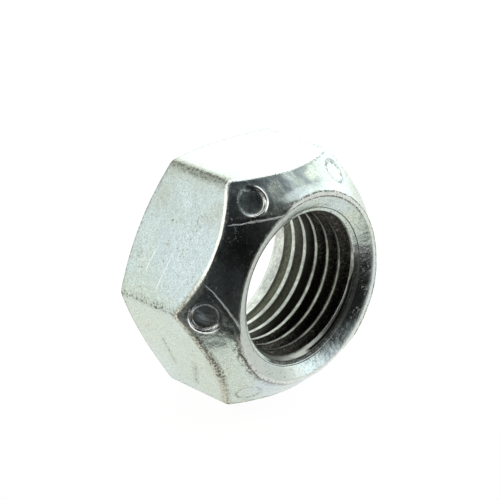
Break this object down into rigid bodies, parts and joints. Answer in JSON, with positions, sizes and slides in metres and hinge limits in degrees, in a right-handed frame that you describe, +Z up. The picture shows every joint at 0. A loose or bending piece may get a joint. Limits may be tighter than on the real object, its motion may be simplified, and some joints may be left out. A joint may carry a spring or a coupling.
{
  "type": "prevailing-torque hex lock nut",
  "caption": "One-piece hex nut with a conical locking top, a right-hand fine internal thread, a countersink at each end and a chamfered flat bearing face.",
  "frame": {"origin": "on the surface that the nut stands on, under the middle of the nut, which rests on one wrench flat", "axes": "+Y along the thread axis, out of the flat bearing face, so the cone faces -Y; +X across two corners; +Z up, square to the flat that it stands on"},
  "size_m": [0.0218, 0.0108, 0.019],
  "materials": {
    "zinc_plated_steel": "clear zinc plating, satin and slightly mottled, with darkened edges and a dark oily bore"
  },
  "bodies": {
    "root": {"nut_body": "zinc_plated_steel"}
  },
  "joints": []
}
